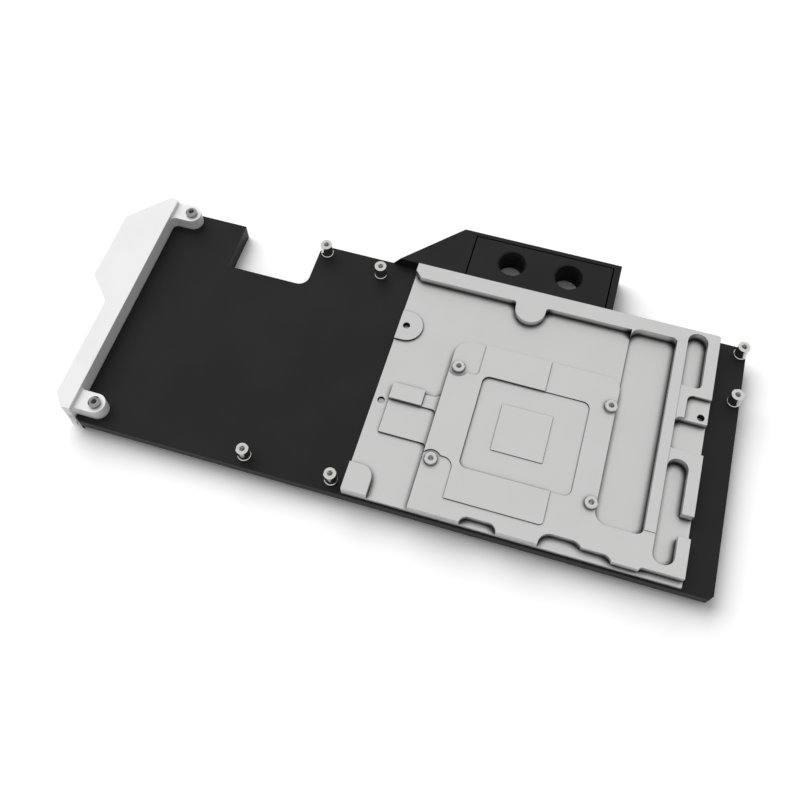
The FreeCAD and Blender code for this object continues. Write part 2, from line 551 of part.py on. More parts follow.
# ---------------------------------------------------------------- terminal
def terminal_screw_places():
    """x of the two screws that hold the block on to the housing's edge."""
    return (PORTS_X[0] - PORT_TO_SCREW, PORTS_X[1] + PORT_TO_SCREW)


def shroud_left_foot():
    """x where the slanted end of the shroud meets the housing's edge."""
    return BLOCK_LEFT - SHROUD_GAP - SHROUD_NOSE - SHROUD_FOOT


def shroud_screw_places():
    """x of the two screws in the thick end of the shroud, clear of the corner screw that they cross."""
    corner = clamp_places()[0][0]
    room = HEAD_ROOM + SCREW_RADIUS + SIDE_WALL
    places = []
    for share in (0.343, 0.67):
        x = shroud_left_foot() + share * (SHROUD_NOSE + SHROUD_FOOT)
        if abs(x - corner) < room:
            x = corner + math.copysign(room, x - corner)
        places.append(x)
    return places


def terminal_block():
    """Port block: two threaded ports right through it, each with a side passage to the housing."""
    body = prism(panel(BLOCK_LEFT, 0, BLOCK_RIGHT, BLOCK_WIDTH), FRONT, TERMINAL_TOP)
    cuts = []
    for x in PORTS_X:
        cuts.append(round_bar(x, PORT_FROM_EDGE, FRONT, TERMINAL_TOP, PORT_RADIUS))
        mouth = PORT_RADIUS + PORT_CHAMFER
        cuts.append(Part.makeCone(PORT_RADIUS, mouth, PORT_CHAMFER,
                                  Vector(x, PORT_FROM_EDGE, TERMINAL_TOP - PORT_CHAMFER)))
        cuts.append(Part.makeCone(mouth, PORT_RADIUS, PORT_CHAMFER, Vector(x, PORT_FROM_EDGE, FRONT)))
        cuts.append(side_bar(x, SIDE_Z, 0, PORT_FROM_EDGE, PASSAGE_RADIUS))
        cuts.append(side_bar(x, SIDE_Z, 0, 2 * TERMINAL_RING_SECTION, RING_SEAT_RADIUS))
    for x in terminal_screw_places():
        cuts.append(side_bar(x, SIDE_Z, 0, BLOCK_WIDTH, SCREW_RADIUS + SCREW_CLEARANCE))
        cuts.append(side_bar(x, SIDE_Z, BLOCK_SEAT_Y, BLOCK_WIDTH, HEAD_ROOM))
    return cut_all(body, cuts)


def terminal_shroud():
    """Frame round the port block, with a slanted end that spreads towards the housing."""
    nose = BLOCK_LEFT - SHROUD_GAP - SHROUD_NOSE
    shoulder = BLOCK_LEFT - SHROUD_GAP - SHROUD_SHOULDER

    def corners(spread):
        return [(nose - spread, 0), (SHROUD_RIGHT, 0), (SHROUD_RIGHT, SHROUD_TOP_EDGE),
                (shoulder - spread, SHROUD_TOP_EDGE)]

    lower = prism(corners(SHROUD_FOOT), FRONT, 0)
    wires = [rounded_face(corners(SHROUD_FOOT), 0).OuterWire, rounded_face(corners(0), TERMINAL_TOP).OuterWire]
    body = lower.fuse(Part.makeLoft(wires, True, True)).removeSplitter()
    room = panel(BLOCK_LEFT - SHROUD_GAP, -1, BLOCK_RIGHT + SHROUD_GAP, BLOCK_WIDTH + SHROUD_GAP)
    cuts = [prism(room, FRONT - 1, TERMINAL_TOP + 1)]
    for x in shroud_screw_places():
        cuts.append(side_bar(x, SIDE_Z, -1, SHROUD_TOP_EDGE, SCREW_RADIUS + SCREW_CLEARANCE))
        cuts.append(side_bar(x, SIDE_Z, SHROUD_SCREW_SEAT, SHROUD_TOP_EDGE, HEAD_ROOM))
    return cut_all(body, cuts)


def terminal_ring(x):
    """O-ring pressed between the block and the housing's edge."""
    return Part.makeTorus(TERMINAL_RING_RADIUS, TERMINAL_RING_SECTION, Vector(x, TERMINAL_RING_SECTION, SIDE_Z),
                          Vector(0, 1, 0))


# ---------------------------------------------------------------- coolant pieces
def main_gasket():
    """Cord seal in the groove, just touching the cold face of the plate."""
    path = gasket_path(-GASKET_THICKNESS / 2)
    start = path.Vertexes[0].Point
    direction = path.Edges[0].tangentAt(path.Edges[0].FirstParameter)
    section = Part.Wire(Part.makeCircle(GASKET_THICKNESS / 2, start, direction))
    return path.makePipeShell([section], True, True)


def jet_plate():
    """Thin slotted sheet that lies on the tips of the fins."""
    side = FIN_FIELD - 2.0
    sheet = prism(middle_panel(CHIP_X, CHIP_Y, side, INSERT_WIDTH, 1.0), -JET_PLATE_THICKNESS, 0)
    slot = prism(middle_panel(CHIP_X, CHIP_Y, side - 4, JET_SLOT_WIDTH, 0.6), -JET_PLATE_THICKNESS, 0)
    return sheet.cut(slot)


def jet_insert():
    """Insert that feeds the slot of the jet plate from the inlet channel."""
    half = CHAMBER_SIDE / 2
    top = -JET_PLATE_THICKNESS
    low = -CHAMBER_DEPTH
    body = prism(middle_panel(CHIP_X, CHIP_Y, CHAMBER_SIDE, INSERT_WIDTH, 1.0), low, top)
    duct = prism(panel(CHIP_X - half, CHIP_Y - 3.0, CHIP_X + half - 4.0, CHIP_Y + 3.0), low, top - 1.2)
    mouth = prism(panel(CHIP_X - half + 5.0, CHIP_Y - 1.2, CHIP_X + half - 6.0, CHIP_Y + 1.2, 1.0), low, top)
    return body.cut(duct).cut(mouth).removeSplitter()


# ---------------------------------------------------------------- end cover
def ear_places():
    """Centre of the upper and the lower ear of the end cover."""
    ear_x = HOUSING_LEFT + EAR_INSET
    return ((ear_x, -EAR_FROM_TOP), (ear_x, HOUSING_LOW + EAR_FROM_LOW))


def cover_outline():
    """Corners of the cover's tower in plan."""
    wall = COVER_FACE
    narrow, wide = wall - COVER_BODY, wall - COVER_BULGE
    low = HOUSING_LOW + COVER_LOW_INSET
    return [(wall, COVER_PROUD - 0.4, 0.8), (wall - 3.5, COVER_PROUD, 2.0), (wide, -COVER_BULGE_START, 3.0),
            (wide, -COVER_BULGE_END, 2.5), (narrow, -COVER_BULGE_END - 10.2, 4.0), (narrow, low + 5.6, 1.5),
            (wall - 3.7, low, 1.0), (wall, low + 0.3)]


def end_cover():
    """White moulded cover: hollow tower, two ears on the housing and a lip round its corner."""
    tower = prism(cover_outline(), FRONT, COVER_TOP)
    room_face = Part.Face(rounded_face(cover_outline(), FRONT).OuterWire.makeOffset2D(-COVER_WALL).Wires[0])
    room = room_face.extrude(Vector(0, 0, COVER_TOP - COVER_WALL - FRONT))
    count = math.ceil((HOUSING_WIDTH - 2 * COVER_WALL) / COVER_RIB_PITCH)
    middle = COVER_FACE - COVER_BULGE / 2
    ribs = [prism(middle_panel(middle, -i * HOUSING_WIDTH / count, COVER_BULGE, COVER_RIB), FRONT + 1,
                  COVER_TOP) for i in range(1, count)]
    tower = tower.cut(room.cut(Part.makeCompound(ribs)))
    lip_low = HOUSING_LOW - LIP_OUT
    lip_end = HOUSING_LEFT + CORNER_CUT_LOW - COVER_GAP
    lip = prism([(COVER_FACE - 4.0, HOUSING_LOW + 2.6), (COVER_FACE - 0.6, lip_low, 0.6), (lip_end, lip_low),
                 (lip_end, HOUSING_LOW - COVER_GAP), (COVER_FACE, HOUSING_LOW + CORNER_CUT_LOW - COVER_GAP),
                 (COVER_FACE, HOUSING_LOW + 4.0)], -LIP_HEIGHT, 0)
    pieces = [tower, lip] + [ear(index) for index in (0, 1)]
    holes = [round_bar(x, y, -1, EAR_THICKNESS + 1, STUD_RADIUS + SCREW_CLEARANCE) for x, y in ear_places()]
    return cut_all(fuse_all(pieces), holes)


def ear(index):
    """One ear on the housing's face, blended into the tower by round inner corners."""
    x, y = ear_places()[index]
    up, down = y + EAR_RADIUS, y - EAR_RADIUS
    wall, inner = COVER_FACE - 0.5, COVER_FACE
    if index == 0:
        low = down - EAR_BLEND - 0.6
        corners = [(wall, up - 0.2), (wall, low), (inner, low), (inner, down, EAR_BLEND), (x, down), (x, up)]
    else:
        top = up + LOWER_EAR_BLEND + 0.4
        foot = down - EAR_FOOT - 0.1
        corners = [(wall, top), (wall, foot), (inner, foot), (inner, down, EAR_FOOT),
                   (x, down), (x, up), (inner, up, LOWER_EAR_BLEND), (inner, top)]
    return prism(corners, 0, EAR_THICKNESS).fuse(round_bar(x, y, 0, EAR_THICKNESS, EAR_RADIUS))


# ---------------------------------------------------------------- assembly
def all_pieces():
    """Node name and shape of every piece."""
    pieces = {"cold_plate": cold_plate(), "top_housing": top_housing(), "terminal_block": terminal_block(),
              "terminal_shroud": terminal_shroud(), "end_cover": end_cover(), "main_gasket": main_gasket(),
              "jet_plate": jet_plate(), "jet_insert": jet_insert()}
    for index, x in enumerate(PORTS_X, 1):
        pieces[f"terminal_ring_{index}"] = terminal_ring(x)
    for name, x, y, foot in standoff_places():
        pieces[name] = standoff(foot)
        pieces[name].translate(Vector(x, y, foot))
    for index, (x, y, length) in enumerate(clamp_places(), 1):
        pieces[f"housing_screw_{index:02d}"] = cap_screw(length)
        pieces[f"housing_screw_{index:02d}"].translate(Vector(x, y, SEAT_Z))
    for index, x in enumerate(terminal_screw_places(), 1):
        pieces[f"terminal_screw_{index}"] = side_screw(x, BLOCK_SEAT_Y, TERMINAL_SCREW)
    for index, x in enumerate(shroud_screw_places(), 1):
        pieces[f"shroud_screw_{index}"] = side_screw(x, SHROUD_SCREW_SEAT, SHROUD_SCREW)
    return pieces


def main():
    """Move the assembly to its frame and write one file per piece."""
    os.makedirs("parts", exist_ok=True)
    pieces = all_pieces()
    box = Part.makeCompound(list(pieces.values())).BoundBox
    shift = Vector(-(box.XMin + box.XMax) / 2, -(box.YMin + box.YMax) / 2, -FRONT)
    for name, shape in pieces.items():
        shape.translate(shift)
        shape.exportStep(f"parts/{name}.step")


main()
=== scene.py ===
"""Looks of a full-cover liquid cooling cold plate that lies on its front face, contact side up.

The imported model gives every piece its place. This script cuts the real threads into the ports and
standoffs, knurls the screw heads, gives each piece its finish, and sets up a plain white studio.
"""
from __future__ import annotations

import logging
import math
from dataclasses import dataclass, field
from enum import Enum
from typing import Any, Iterable, Sequence

import bmesh
import bpy
from mathutils import Matrix, Vector

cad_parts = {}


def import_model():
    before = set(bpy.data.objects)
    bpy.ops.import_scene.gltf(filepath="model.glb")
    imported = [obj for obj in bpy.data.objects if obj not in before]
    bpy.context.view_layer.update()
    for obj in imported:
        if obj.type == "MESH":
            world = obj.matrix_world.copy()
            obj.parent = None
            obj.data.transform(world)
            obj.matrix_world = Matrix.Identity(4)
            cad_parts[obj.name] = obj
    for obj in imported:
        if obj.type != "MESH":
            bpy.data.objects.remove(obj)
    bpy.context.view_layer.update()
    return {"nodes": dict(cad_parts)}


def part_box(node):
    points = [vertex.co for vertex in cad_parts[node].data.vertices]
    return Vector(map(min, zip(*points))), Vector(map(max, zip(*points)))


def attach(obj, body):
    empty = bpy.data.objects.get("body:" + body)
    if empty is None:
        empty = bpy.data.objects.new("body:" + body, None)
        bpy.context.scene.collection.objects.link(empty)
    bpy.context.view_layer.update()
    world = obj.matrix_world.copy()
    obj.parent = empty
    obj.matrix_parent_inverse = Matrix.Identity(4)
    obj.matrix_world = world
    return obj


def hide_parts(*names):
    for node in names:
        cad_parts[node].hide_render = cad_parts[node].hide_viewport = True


LOG = logging.getLogger("cold_plate")
MM = 0.001
ROOT = "root"
Colour = tuple[float, float, float]
BRIGHT_NICKEL: Colour = (0.62, 0.615, 0.60)
CLOUD_STEP = (0.3, 0.7)         # where a cloud starts and ends to turn into the second shade
MERGE_DISTANCE = 1e-7           # metres between points of a CAD mesh that are one point
SLIVER_LENGTH = 1e-8            # metres under which an edge is dropped
AXIS_ALIGNED = 0.9999           # a normal's largest part, from which a face counts as flat to an axis
SHARP_ANGLE = math.radians(35.0)
TOOTH_SIDES = 3
SEEN_PLAIN = ("Is Glossy Ray", "Is Transmission Ray")   # rays beside the camera's that see plain white


class Operation(Enum):
    """The Math node's operations that are used."""

    SUM = "ADD"
    DIFFERENCE = "SUBTRACT"
    PRODUCT = "MULTIPLY"
    HIGHEST = "MAXIMUM"
    SINE = "SINE"
    ROOT = "SQRT"


class Signal:
    """A shader socket that takes part in Python arithmetic and adds its Math nodes as it goes."""

    def __init__(self, graph: "ShaderGraph", socket: bpy.types.NodeSocket) -> None:
        """Wrap an output socket.

        Args:
            graph: Graph that the socket belongs to.
            socket: Output socket that carries the value.
        """
        self.graph = graph
        self.socket = socket

    def _math(self, operation: Operation, *operands: Any) -> "Signal":
        """Add one Math node.

        Args:
            operation: What the node works out.
            operands: Numbers or signals, in order.

        Returns:
            The result as a signal.
        """
        return self.graph.node("ShaderNodeMath", {"operation": operation.value}, dict(enumerate(operands)))

    def __add__(self, other: Any) -> "Signal":
        """Sum."""
        return self._math(Operation.SUM, self, other)

    def __radd__(self, other: Any) -> "Signal":
        """Sum with a number on the left."""
        return self._math(Operation.SUM, other, self)

    def __sub__(self, other: Any) -> "Signal":
        """Difference."""
        return self._math(Operation.DIFFERENCE, self, other)

    def __rsub__(self, other: Any) -> "Signal":
        """Difference from a number on the left."""
        return self._math(Operation.DIFFERENCE, other, self)

    def __mul__(self, other: Any) -> "Signal":
        """Product."""
        return self._math(Operation.PRODUCT, self, other)

    def __rmul__(self, other: Any) -> "Signal":
        """Product with a number on the left."""
        return self._math(Operation.PRODUCT, other, self)

    def wave(self) -> "Signal":
        """Sine of the value."""
        return self._math(Operation.SINE, self)

    def root(self) -> "Signal":
        """Square root of the value."""
        return self._math(Operation.ROOT, self)

    def highest(self, other: "Signal") -> "Signal":
        """Larger of this signal and another."""
        return self._math(Operation.HIGHEST, self, other)

    def swing(self, span: float) -> "Signal":
        """Swing about 0 of a signal that runs from 0 to 1.

        Args:
            span: Distance between the swing's two ends.

        Returns:
            The swing as a signal.
        """
        return (self - 0.5) * span

    def step(self, low: float, high: float) -> "Signal":
        """Smooth step from 0 at low to 1 at high.

        Args:
            low: Value where the step starts.
            high: Value where the step ends.

        Returns:
            The step as a signal.
        """
        return self.graph.node("ShaderNodeMapRange", {"interpolation_type": "SMOOTHSTEP"},
                               {"Value": self, "From Min": low, "From Max": high})


@dataclass(frozen=True)
class Grain:
    """A noise in a surface.

    Attributes:
        scale: Features per millimetre.
        detail: Octaves.
        weight: Weight of the finer octaves.
        swing: How much it changes the roughness, from end to end.
        height: Its relief, in millimetres.
    """

    scale: float
    detail: float = 2.0
    weight: float = 0.5
    swing: float = 0.0
    height: float = 0.0


class ShaderGraph:
    """Node tree of one material, built from Python expressions."""

    def __init__(self, name: str) -> None:
        """Start an empty material.

        Args:
            name: Name of the material.
        """
        self.material = bpy.data.materials.new(name)
        self.material.use_nodes = True
        self.tree = self.material.node_tree
        self.tree.nodes.clear()

    def node(self, kind: str, settings: dict[str, Any] | None = None,
             inputs: dict[str | int, Any] | None = None, output: str | int = 0) -> Signal:
        """Add a node.

        Args:
            kind: Node type.
            settings: Properties that are set first, such as a Math node's operation.
            inputs: Values or signals for its sockets, by name or index.
            output: Which output the signal carries.

        Returns:
            Signal on the chosen output.
        """
        made = self.tree.nodes.new(kind)
        for key, value in (settings or {}).items():
            setattr(made, key, value)
        for key, value in (inputs or {}).items():
            if isinstance(value, Signal):
                self.tree.links.new(value.socket, made.inputs[key])
            else:
                made.inputs[key].default_value = value
        return Signal(self, made.outputs[output])

    def place(self, centre: Sequence[float] = (0.0, 0.0, 0.0)) -> Signal:
        """Object coordinates in millimetres about a centre.

        Args:
            centre: Point, in metres, that becomes the pattern's origin.

        Returns:
            Vector signal.
        """
        spot = self.node("ShaderNodeTexCoord", output="Object")
        moved = self.node("ShaderNodeVectorMath", {"operation": "SUBTRACT"}, {0: spot, 1: tuple(centre)})
        scaled = self.node("ShaderNodeVectorMath", {"operation": "SCALE"}, {0: moved, "Scale": 1 / MM})
        return scaled

    def parts(self, vector: Signal) -> tuple[Signal, Signal, Signal]:
        """Split a vector signal into its three numbers.

        Args:
            vector: Vector signal.

        Returns:
            Its x, y and z as signals.
        """
        made = self.tree.nodes.new("ShaderNodeSeparateXYZ")
        self.tree.links.new(vector.socket, made.inputs[0])
        return tuple(Signal(self, made.outputs[i]) for i in range(3))

    def noise(self, vector: Signal, grain: Grain) -> Signal:
        """Noise between 0 and 1.

        Args:
            vector: Place in millimetres.
            grain: Size and depth of the noise.

        Returns:
            Noise signal.
        """
        return self.node("ShaderNodeTexNoise", {}, {"Vector": vector, "Scale": grain.scale,
                                                    "Detail": grain.detail, "Roughness": grain.weight})

    def blend(self, factor: Signal, low: Colour, high: Colour | Signal) -> Signal:
        """Mix a colour with another colour or a colour signal.

        Args:
            factor: 0 gives the first, 1 the second.
            low: First colour.
            high: Second colour.

        Returns:
            Colour signal.
        """
        last = high if isinstance(high, Signal) else (*high, 1.0)
        return self.node("ShaderNodeMix", {"data_type": "RGBA"}, {0: factor, 6: (*low, 1.0), 7: last},
                         output=2)

    def corners(self, reach: float) -> Signal:
        """How open a point is: 1 on open faces, towards 0 in inner corners.

        Args:
            reach: How far from an inner edge the value starts to fall, in millimetres.

        Returns:
            Openness signal.
        """
        # The nickel uses this mask to paint shade into its colour.
        return self.node("ShaderNodeAmbientOcclusion", {"samples": 8}, {"Distance": reach * MM}, output="AO")

    def relief(self, height: Signal, depth: float, edge: float) -> Signal:
        """Normal of a fine relief on edges that are broken by a small radius.

        Args:
            height: Height between 0 and 1.
            depth: Full height in millimetres.
            edge: Edge radius in millimetres.

        Returns:
            Normal signal.
        """
        rounded = self.node("ShaderNodeBevel", {"samples": 6}, {"Radius": edge * MM})
        return self.node("ShaderNodeBump", {}, {"Height": height, "Distance": depth * MM, "Strength": 1.0,
                                                "Normal": rounded})

    def surface(self, **sockets: Any) -> bpy.types.Material:
        """Finish the material with one Principled shader.

        Args:
            sockets: Values or signals by socket name, with _ for a space.

        Returns:
            The material.
        """
        values = {key.replace("_", " "): value for key, value in sockets.items()}
        shader = self.node("ShaderNodeBsdfPrincipled", {}, values)
        self.end(shader)
        return self.material

    def end(self, shader: Signal) -> None:
        """Link a shader to the material's output.

        Args:
            shader: The shader.
        """
        end = self.tree.nodes.new("ShaderNodeOutputMaterial")
        self.tree.links.new(shader.socket, end.inputs["Surface"])


# ---------------------------------------------------------------- finishes
@dataclass(frozen=True)
class BlastedNickel:
    """Nickel-plated milled and finely blasted copper; its colour carries painted shade, near black in inner
    corners.
    """

    shade: Colour = (0.60, 0.60, 0.597)
    worn: Colour = (0.585, 0.585, 0.582)
    # Painted shade: an occlusion mask blends the nickel towards this near-black colour in inner corners, at
    # wall feet and on pocket walls.
    painted_corner_shade: Colour = (0.02, 0.02, 0.02)
    painted_shade_reach: float = 3.4
    painted_shade_step: tuple[float, float] = (0.45, 0.92)
    metal: float = 1.0
    roughness: float = 0.42
    grain: Grain = Grain(9.0, weight=0.6, swing=0.08, height=0.002)
    cloud: Grain = Grain(0.05, swing=0.06)
    edge: float = 0.18

    def material(self) -> bpy.types.Material:
        """Build the material."""
        graph = ShaderGraph("blasted_nickel")
        spot = graph.place()
        cloud = graph.noise(spot, self.cloud)
        grain = graph.noise(spot, self.grain)
        open_face = graph.blend(cloud.step(*CLOUD_STEP), self.worn, self.shade)
        # Painted shade: the occlusion mask darkens the colour in inner corners and on pocket walls, standing
        # in for shade there.
        painted_shade_factor = graph.corners(self.painted_shade_reach).step(*self.painted_shade_step)
        rough = self.roughness + grain.swing(self.grain.swing) + cloud.swing(self.cloud.swing)
        return graph.surface(Base_Color=graph.blend(painted_shade_factor, self.painted_corner_shade, open_face), Metallic=self.metal,
                             Roughness=rough, Normal=graph.relief(grain, self.grain.height, self.edge))


@dataclass(frozen=True)
class BlackAcetal:
    """Machined black acetal."""

    name: str = "black_acetal"
    shade: Colour = (0.008, 0.008, 0.0083)
    pale: Colour = (0.011, 0.011, 0.0113)
    roughness: float = 0.5
    gloss: float = 0.2
    grain: Grain = Grain(7.0, detail=3.0, weight=0.6, swing=0.1, height=0.004)
    cloud: Grain = Grain(0.04)
    edge: float = 0.2

    def material(self) -> bpy.types.Material:
        """Build the material."""
        graph = ShaderGraph(self.name)
        spot = graph.place()
        cloud = graph.noise(spot, self.cloud)
        grain = graph.noise(spot, self.grain)
        return graph.surface(Base_Color=graph.blend(cloud.step(*CLOUD_STEP), self.shade, self.pale),
                             Specular_IOR_Level=self.gloss,
                             Roughness=self.roughness + grain.swing(self.grain.swing),
                             Normal=graph.relief(grain, self.grain.height, self.edge))


@dataclass(frozen=True)
class WhitePlastic:
    """Smooth white moulded plastic."""

    shade: Colour = (0.83, 0.83, 0.83)
    pale: Colour = (0.86, 0.86, 0.86)
    roughness: float = 0.38
    grain: Grain = Grain(4.0, detail=3.0, weight=0.55, swing=0.08, height=0.006)
    cloud: Grain = Grain(0.06)
    edge: float = 0.35

    def material(self) -> bpy.types.Material:
        """Build the material."""
        graph = ShaderGraph("white_plastic")
        spot = graph.place()
        cloud = graph.noise(spot, self.cloud)
        grain = graph.noise(spot, self.grain)
        return graph.surface(Base_Color=graph.blend(cloud.step(*CLOUD_STEP), self.shade, self.pale),
                             Roughness=self.roughness + grain.swing(self.grain.swing),
                             Normal=graph.relief(grain, self.grain.height, self.edge))


@dataclass(frozen=True)
class TurnedMetal:
    """Turned metal with fine rings about its own axis."""

    name: str
    centre: tuple[float, float, float]
    shade: Colour = BRIGHT_NICKEL
    dark_share: float = 0.9
    roughness: float = 0.06
    pitch: float = 0.16
    ring_swing: float = 0.03
    ring_height: float = 0.003
    smear: Grain = Grain(0.8, swing=0.04)
    edge: float = 0.08

    def material(self) -> bpy.types.Material:
        """Build the material."""
        graph = ShaderGraph(self.name)
        spot = graph.place(self.centre)
        x, y, z = graph.parts(spot)
        radius = (x * x + y * y).root()
        rings = ((radius + z) * (math.tau / self.pitch)).wave() * 0.5 + 0.5
        smear = graph.noise(spot, self.smear)
        dark = tuple(c * self.dark_share for c in self.shade)
        rough = self.roughness + rings * self.ring_swing + smear.swing(self.smear.swing)
        return graph.surface(Base_Color=graph.blend(smear, dark, self.shade), Metallic=1.0,
                             Roughness=rough, Normal=graph.relief(rings, self.ring_height, self.edge))


@dataclass(frozen=True)
class SealRubber:
    """Black nitrile rubber."""

    shade: Colour = (0.018, 0.018, 0.018)
    pale_share: float = 1.5
    roughness: float = 0.6
    grain: Grain = Grain(6.0, detail=3.0, swing=0.15, height=0.01)
    edge: float = 0.05

    def material(self) -> bpy.types.Material:
        """Build the material."""
        graph = ShaderGraph("seal_rubber")
        grain = graph.noise(graph.place(), self.grain)
        pale = tuple(c * self.pale_share for c in self.shade)
        return graph.surface(Base_Color=graph.blend(grain, self.shade, pale),
                             Roughness=self.roughness + grain.swing(self.grain.swing),
                             Normal=graph.relief(grain, self.grain.height, self.edge))


@dataclass(frozen=True)
class StudioWhite:
    """Plain floor that the camera and mirrors see white, with the object's shadow kept."""

    shade: float = 0.80
    seen: float = 1.12

    def material(self) -> bpy.types.Material:
        """Build the material."""
        graph = ShaderGraph("studio_white")
        rays = graph.tree.nodes.new("ShaderNodeLightPath")
        seen = Signal(graph, rays.outputs["Is Camera Ray"])
        for name in SEEN_PLAIN:
            seen = seen.highest(Signal(graph, rays.outputs[name]))
        colour = graph.blend(seen, (self.shade,) * 3, (self.seen,) * 3)
        graph.end(graph.node("ShaderNodeBsdfDiffuse", {}, {"Color": colour}))
        return graph.material


# ---------------------------------------------------------------- mesh helpers
def merged_copy(node: bpy.types.Object, name: str) -> bpy.types.Object:
    """Copy of a CAD node with its loose triangles merged to a closed mesh.

    Args:
        node: CAD node.
        name: Name of the copy.

    Returns:
        New object, linked to the scene.
    """
    work = bmesh.new()
    work.from_mesh(node.data)
    bmesh.ops.remove_doubles(work, verts=work.verts, dist=MERGE_DISTANCE)
    bmesh.ops.dissolve_degenerate(work, edges=work.edges, dist=SLIVER_LENGTH)
    mesh = bpy.data.meshes.new(name)
    work.to_mesh(mesh)
    work.free()
    made = bpy.data.objects.new(name, mesh)
    bpy.context.scene.collection.objects.link(made)
    return made


def baked(source: bpy.types.Object) -> bpy.types.Object:
    """Turn an object with a node modifier into a plain mesh and remove the modifier.

    Args:
        source: Object with its modifiers.

    Returns:
        The same object with the evaluated mesh as its own.
    """
    bpy.context.view_layer.update()
    graph = bpy.context.evaluated_depsgraph_get()
    mesh = bpy.data.meshes.new_from_object(source.evaluated_get(graph), depsgraph=graph)
    source.modifiers.clear()
    source.data = mesh
    return source


def shade(piece: bpy.types.Object) -> None:
    """Smooth the turned faces, and keep flat faces and sharp edges.

    Args:
        piece: Object whose mesh is changed.
    """
    mesh = piece.data
    if "custom_normal" in mesh.attributes:
        mesh.attributes.remove(mesh.attributes["custom_normal"])
    work = bmesh.new()
    work.from_mesh(mesh)
    for face in work.faces:
        face.smooth = max(abs(c) for c in face.normal) < AXIS_ALIGNED
    for edge in work.edges:
        edge.smooth = len(edge.link_faces) == 2 and edge.calc_face_angle(0.0) < SHARP_ANGLE
    work.to_mesh(mesh)
    work.free()


def paint(piece: bpy.types.Object, material: bpy.types.Material) -> None:
    """Give every face of a piece one material.

    Args:
        piece: Object to paint.
        material: Its finish.
    """
    if not piece.data.materials:
        piece.data.materials.append(material)
    for index in range(len(piece.data.materials)):
        piece.data.materials[index] = material


class NodeTree:
    """Geometry node tree with named inputs."""

    def __init__(self, name: str) -> None:
        """Start a tree with a geometry input and output.

        Args:
            name: Name of the tree.
        """
        self.tree = bpy.data.node_groups.new(name, "GeometryNodeTree")
        self.tree.interface.new_socket("Geometry", in_out="INPUT", socket_type="NodeSocketGeometry")
        self.tree.interface.new_socket("Geometry", in_out="OUTPUT", socket_type="NodeSocketGeometry")
        self.start = self.tree.nodes.new("NodeGroupInput")
        self.end = self.tree.nodes.new("NodeGroupOutput")

    def size(self, name: str, kind: str = "NodeSocketFloat") -> None:
        """Add a named input.

        Args:
            name: Name of the input.
            kind: Its socket type.
        """
        self.tree.interface.new_socket(name, in_out="INPUT", socket_type=kind)

    def given(self, name: str) -> bpy.types.NodeSocket:
        """Find a named input.

        Args:
            name: Name of the input.

        Returns:
            The socket that gives its value.
        """
        return self.start.outputs[name]

    def add(self, kind: str, settings: dict[str, Any] | None = None,
            inputs: dict[str | int, Any] | None = None, output: str | int = 0) -> bpy.types.NodeSocket:
        """Add a node.

        Args:
            kind: Node type.
            settings: Properties that are set first.
            inputs: Values or sockets by name or index.
            output: Which output to return.

        Returns:
            The chosen output socket.
        """
        made = self.tree.nodes.new(kind)
        for key, value in (settings or {}).items():
            setattr(made, key, value)
        for key, value in (inputs or {}).items():
            if isinstance(value, bpy.types.NodeSocket):
                self.tree.links.new(value, made.inputs[key])
            else:
                made.inputs[key].default_value = value
        return made.outputs[output]

    def finish(self, geometry: bpy.types.NodeSocket) -> bpy.types.NodeTree:
        """Realize, set the material and close the tree.

        Args:
            geometry: Last geometry socket.

        Returns:
            The finished tree.
        """
        real = self.add("GeometryNodeRealizeInstances", {}, {"Geometry": geometry})
        finish = self.given("Material")
        dressed = self.add("GeometryNodeSetMaterial", {}, {"Geometry": real, "Material": finish})
        self.tree.links.new(dressed, self.end.inputs[0])
        return self.tree

    def apply(self, target: bpy.types.Object, values: dict[str, Any]) -> bpy.types.Object:
        """Run the tree on an object and keep the result as its mesh.

        Args:
            target: Object that carries the modifier for a moment.
            values: Inputs by name.

        Returns:
            The object with its new mesh.
        """
        modifier = target.modifiers.new(self.tree.name, "NODES")
        modifier.node_group = self.tree
        for item in self.tree.interface.items_tree:
            if item.item_type == "SOCKET" and item.in_out == "INPUT" and item.name in values:
                modifier[item.identifier] = values[item.name]
        return baked(target)


